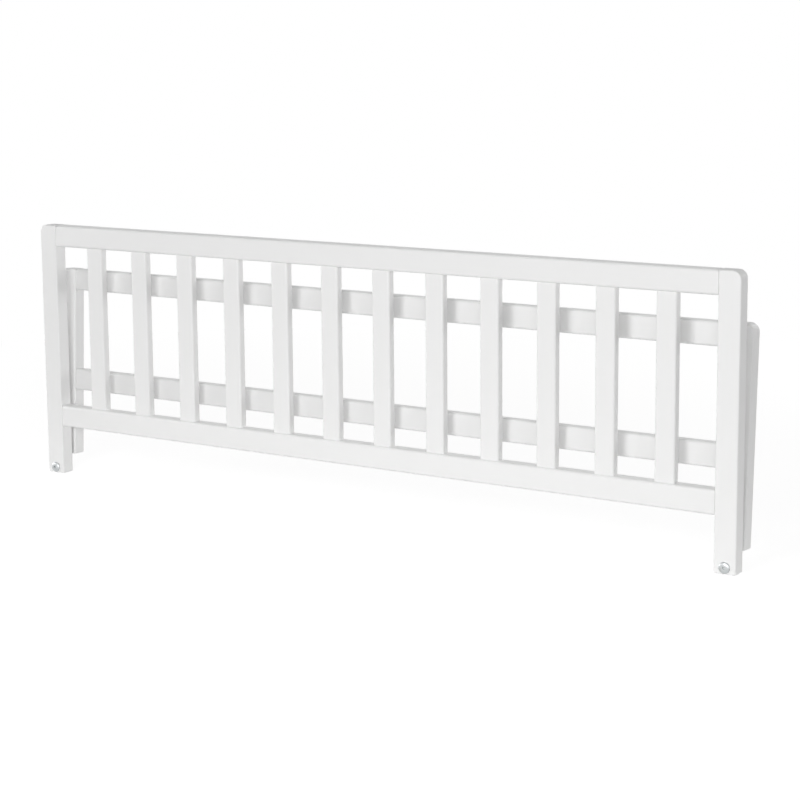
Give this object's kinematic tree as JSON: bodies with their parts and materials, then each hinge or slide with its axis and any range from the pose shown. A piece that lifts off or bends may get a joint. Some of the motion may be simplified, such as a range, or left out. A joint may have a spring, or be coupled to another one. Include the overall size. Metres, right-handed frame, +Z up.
{
  "type": "folding bed guard rail",
  "caption": "White lacquered wooden bed guard rail with vertical slats and a hinged support frame that folds from behind the guard to lie under the mattress.",
  "frame": {"origin": "on the floor under the middle of the guard's length and of the whole depth at rest, support frame and bolt heads included", "axes": "+X along the guard to the right seen from its front, +Y from the guard's front to the support frame behind it, +Z up"},
  "size_m": [1.2, 0.0694, 0.403],
  "materials": {
    "white_lacquered_wood": "satin white lacquer over beech",
    "beech_dowel": "bare fluted beech",
    "zinc_plated_steel": "bright zinc plating"
  },
  "bodies": {
    "guard_frame": {"post_left": "white_lacquered_wood", "post_right": "white_lacquered_wood", "top_rail": "white_lacquered_wood", "bottom_rail": "white_lacquered_wood", "slat_01": "white_lacquered_wood", "slat_02": "white_lacquered_wood", "slat_03": "white_lacquered_wood", "slat_04": "white_lacquered_wood", "slat_05": "white_lacquered_wood", "slat_06": "white_lacquered_wood", "slat_07": "white_lacquered_wood", "slat_08": "white_lacquered_wood", "slat_09": "white_lacquered_wood", "slat_10": "white_lacquered_wood", "slat_11": "white_lacquered_wood", "slat_12": "white_lacquered_wood", "dowel_top_rail_left_low": "beech_dowel", "dowel_top_rail_left_high": "beech_dowel", "dowel_top_rail_right_low": "beech_dowel", "dowel_top_rail_right_high": "beech_dowel", "dowel_bottom_rail_left_low": "beech_dowel", "dowel_bottom_rail_left_high": "beech_dowel", "dowel_bottom_rail_right_low": "beech_dowel", "dowel_bottom_rail_right_high": "beech_dowel", "hinge_left_post_leaf": "zinc_plated_steel", "hinge_right_post_leaf": "zinc_plated_steel", "hinge_left_pin": "zinc_plated_steel", "hinge_right_pin": "zinc_plated_steel", "bolt_left": "zinc_plated_steel", "bolt_right": "zinc_plated_steel", "sleeve_nut_left": "zinc_plated_steel", "sleeve_nut_right": "zinc_plated_steel", "screw_left_post_1": "zinc_plated_steel", "screw_left_post_2": "zinc_plated_steel", "screw_right_post_1": "zinc_plated_steel", "screw_right_post_2": "zinc_plated_steel"},
    "support_frame": {"support_leg_left": "white_lacquered_wood", "support_leg_right": "white_lacquered_wood", "support_rail_upper": "white_lacquered_wood", "support_rail_lower": "white_lacquered_wood", "dowel_support_upper_left_low": "beech_dowel", "dowel_support_upper_left_high": "beech_dowel", "dowel_support_upper_right_low": "beech_dowel", "dowel_support_upper_right_high": "beech_dowel", "dowel_support_lower_left_low": "beech_dowel", "dowel_support_lower_left_high": "beech_dowel", "dowel_support_lower_right_low": "beech_dowel", "dowel_support_lower_right_high": "beech_dowel", "hinge_left_leg_leaf": "zinc_plated_steel", "hinge_right_leg_leaf": "zinc_plated_steel", "screw_left_leg_1": "zinc_plated_steel", "screw_left_leg_2": "zinc_plated_steel", "screw_left_leg_3": "zinc_plated_steel", "screw_right_leg_1": "zinc_plated_steel", "screw_right_leg_2": "zinc_plated_steel", "screw_right_leg_3": "zinc_plated_steel"}
  },
  "joints": [
    {"name": "fold", "type": "hinge", "parent": "guard_frame", "child": "support_frame", "pos_m": [0, -0.00587, 0.0248], "axis": [-1, 0, 0], "range_deg": [-3, 87]}
  ]
}
